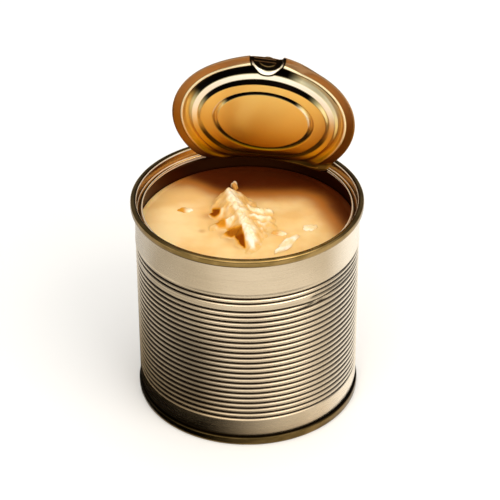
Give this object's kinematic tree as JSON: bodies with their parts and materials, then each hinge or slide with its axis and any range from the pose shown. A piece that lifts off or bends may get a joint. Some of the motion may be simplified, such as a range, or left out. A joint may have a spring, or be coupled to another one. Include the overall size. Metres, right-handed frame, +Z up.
{
  "type": "opened can of condensed soup",
  "caption": "Opened squat beaded tin of creamy soup with shredded chicken, its ring-pull lid bent up on a crease at the back.",
  "frame": {"origin": "centre of the can's base, on the surface it stands on", "axes": "+Z up along the can's axis, +Y towards the lid's crease, +X along the crease"},
  "size_m": [0.087, 0.087, 0.14],
  "materials": {
    "tinplate": "warm bright tinplate with a clear lacquer",
    "gold_lacquer": "gold lacquered tinplate, satin gloss",
    "tab_steel": "plain pressed steel",
    "cream_soup": "glossy thick cream soup",
    "chicken": "moist cooked chicken"
  },
  "bodies": {
    "can": {"can_body": "tinplate", "can_bottom": "tinplate", "end_ring": "tinplate", "soup": "cream_soup", "chicken_heap": "chicken", "chicken_tip_back": "chicken", "chicken_bit_left": "chicken", "chicken_bit_right": "chicken", "chicken_shard_right": "chicken", "chicken_bit_far_right": "chicken"},
    "lid": {"lid_panel": "gold_lacquer", "pull_tab": "tab_steel"}
  },
  "joints": [
    {"name": "lid_hinge", "type": "hinge", "parent": "can", "child": "lid", "pos_m": [0, 0.027, 0.0805], "axis": [-0.9951, 0, 0.0993], "range_deg": [-71, 10]}
  ]
}
